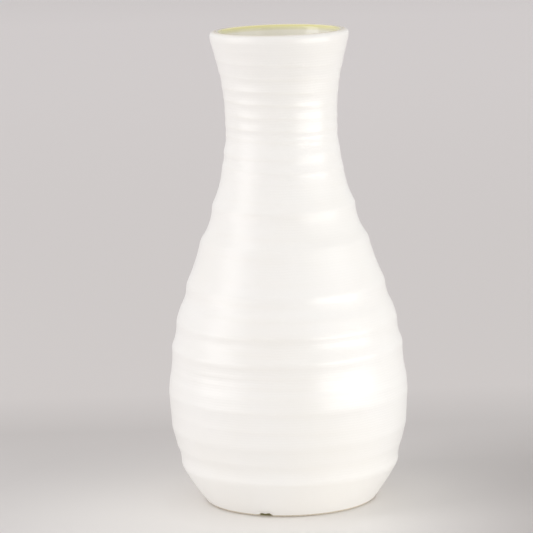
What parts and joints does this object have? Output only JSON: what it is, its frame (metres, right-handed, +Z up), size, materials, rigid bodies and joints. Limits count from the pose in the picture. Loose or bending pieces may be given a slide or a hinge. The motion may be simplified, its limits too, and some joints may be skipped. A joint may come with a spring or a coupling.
{
  "type": "ceramic bud vase",
  "caption": "Wheel-thrown bottle-shaped ceramic vase: flared lip, narrow neck, ringed round belly, white satin glaze outside, glossy cream glaze inside that turns straw-yellow at the lip.",
  "frame": {"origin": "centre of the foot ring's standing face", "axes": "+Z up along the wheel's axis, from the foot to the lip; the small chip in the foot is left of the -Y front"},
  "size_m": [0.1016, 0.1016, 0.2],
  "materials": {
    "fired_clay": "unglazed, smooth, slightly sandy",
    "white_glaze": "warm white satin glaze",
    "cream_glaze": "glossy cream liner glaze, straw-yellow where it thins over the lip"
  },
  "bodies": {
    "root": {"clay_body": "fired_clay", "outer_glaze": "white_glaze", "liner_glaze": "cream_glaze", "base_glaze": "white_glaze"}
  },
  "joints": []
}
